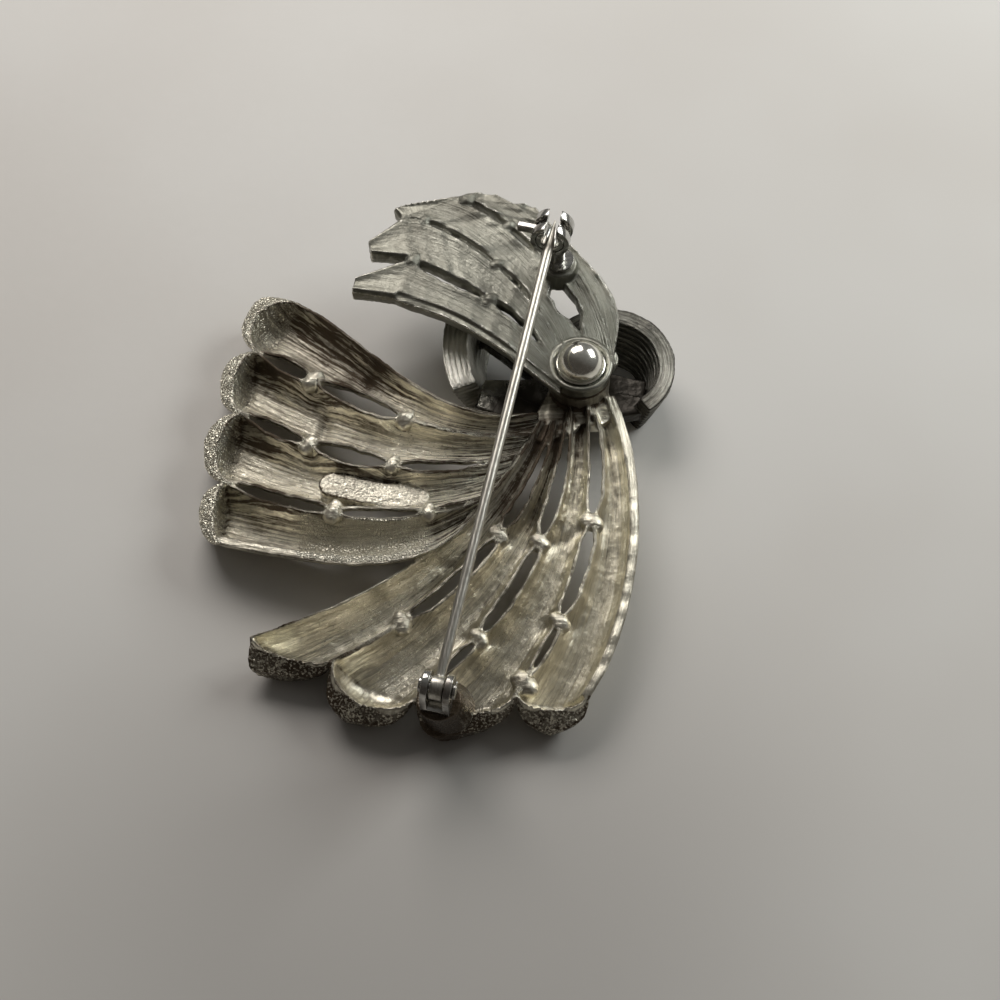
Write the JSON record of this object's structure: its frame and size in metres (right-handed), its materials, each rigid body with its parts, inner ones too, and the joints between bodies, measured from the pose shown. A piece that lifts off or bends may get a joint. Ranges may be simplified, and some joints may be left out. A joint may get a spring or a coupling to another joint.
{
  "type": "feather brooch",
  "caption": "Cast feather-spray brooch lying face down, with a ribbon knot, a riveted upper spray and a hinged pin stem that closes in a rolling safety catch.",
  "frame": {"origin": "on the surface the brooch lies on, under the middle of its outline", "axes": "+Z out of the back of the brooch, up from the surface it lies face down on; +Y along its long way, from the hinge end towards the catch; +X across it, from the plume tips towards the ribbon loop"},
  "size_m": [0.0482, 0.0582, 0.017],
  "materials": {
    "cast_metal": "silver-toned white metal, brushed along the plumes, dark in the hollows and worn bright on the rims",
    "satin_cast": "paler silver-toned casting with a satin, slightly greenish grey surface",
    "ribbon_metal": "silver-toned casting with a smooth edge and brushed, tarnished inner faces",
    "polished": "mirror polish with fine scratches",
    "nickel": "nickel-plated findings, polished and a little tarnished at the joints",
    "wire": "drawn wire, satin"
  },
  "bodies": {
    "brooch": {"main_casting": "cast_metal", "upper_spray": "satin_cast", "ribbon_knot": "ribbon_metal", "centre_rivet": "polished", "hinge_bracket": "nickel", "hinge_pin": "nickel", "catch_housing": "nickel"},
    "stem": {"pin_stem": "wire"},
    "roller": {"catch_roller": "nickel"}
  },
  "joints": [
    {"name": "pin_swing", "type": "hinge", "parent": "brooch", "child": "stem", "pos_m": [0.00041, -0.02703, 0.01], "axis": [0.9741, -0.2261, 0], "range_deg": [0, 100]},
    {"name": "catch_roll", "type": "hinge", "parent": "brooch", "child": "roller", "pos_m": [0.01141, 0.02037, 0.015], "axis": [0.2255, 0.9716, -0.0721], "range_deg": [0, 100]}
  ]
}
